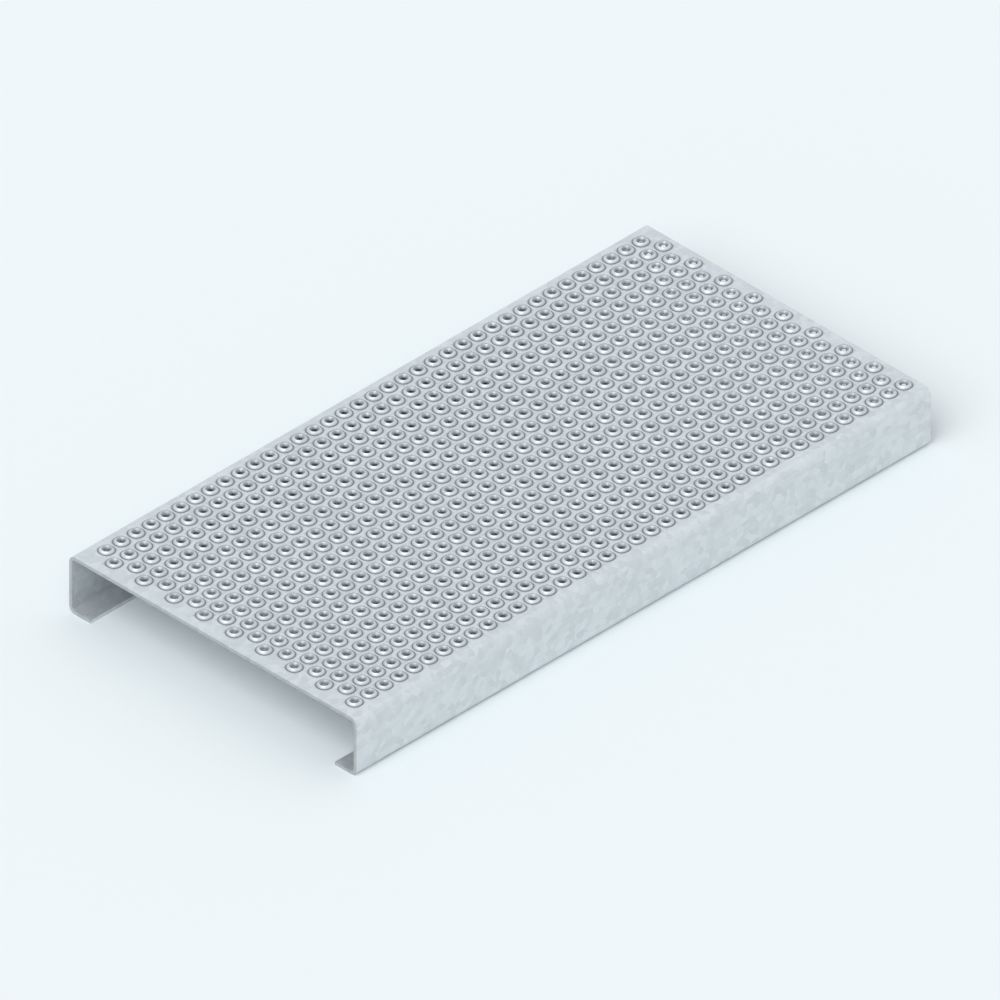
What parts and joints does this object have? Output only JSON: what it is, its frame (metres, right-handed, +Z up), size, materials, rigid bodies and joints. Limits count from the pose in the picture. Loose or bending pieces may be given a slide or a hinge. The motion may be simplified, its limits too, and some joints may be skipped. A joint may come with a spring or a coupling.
{
  "type": "stair tread",
  "caption": "Stair tread folded from one steel sheet, with a raised perforated grip surface, two side flanges and inturned lips along the underside.",
  "frame": {"origin": "middle of the tread's underside, level with the undersides of the two lips", "axes": "+X along the tread, away from the end where the full rows start one pitch in; +Y across it to the back edge; +Z up, out of the walking surface"},
  "size_m": [0.6, 0.3, 0.0515],
  "materials": {
    "galvanised_steel": "zinc-coated sheet, satin, with fine spangle"
  },
  "bodies": {
    "root": {"folded_tread": "galvanised_steel"}
  },
  "joints": []
}
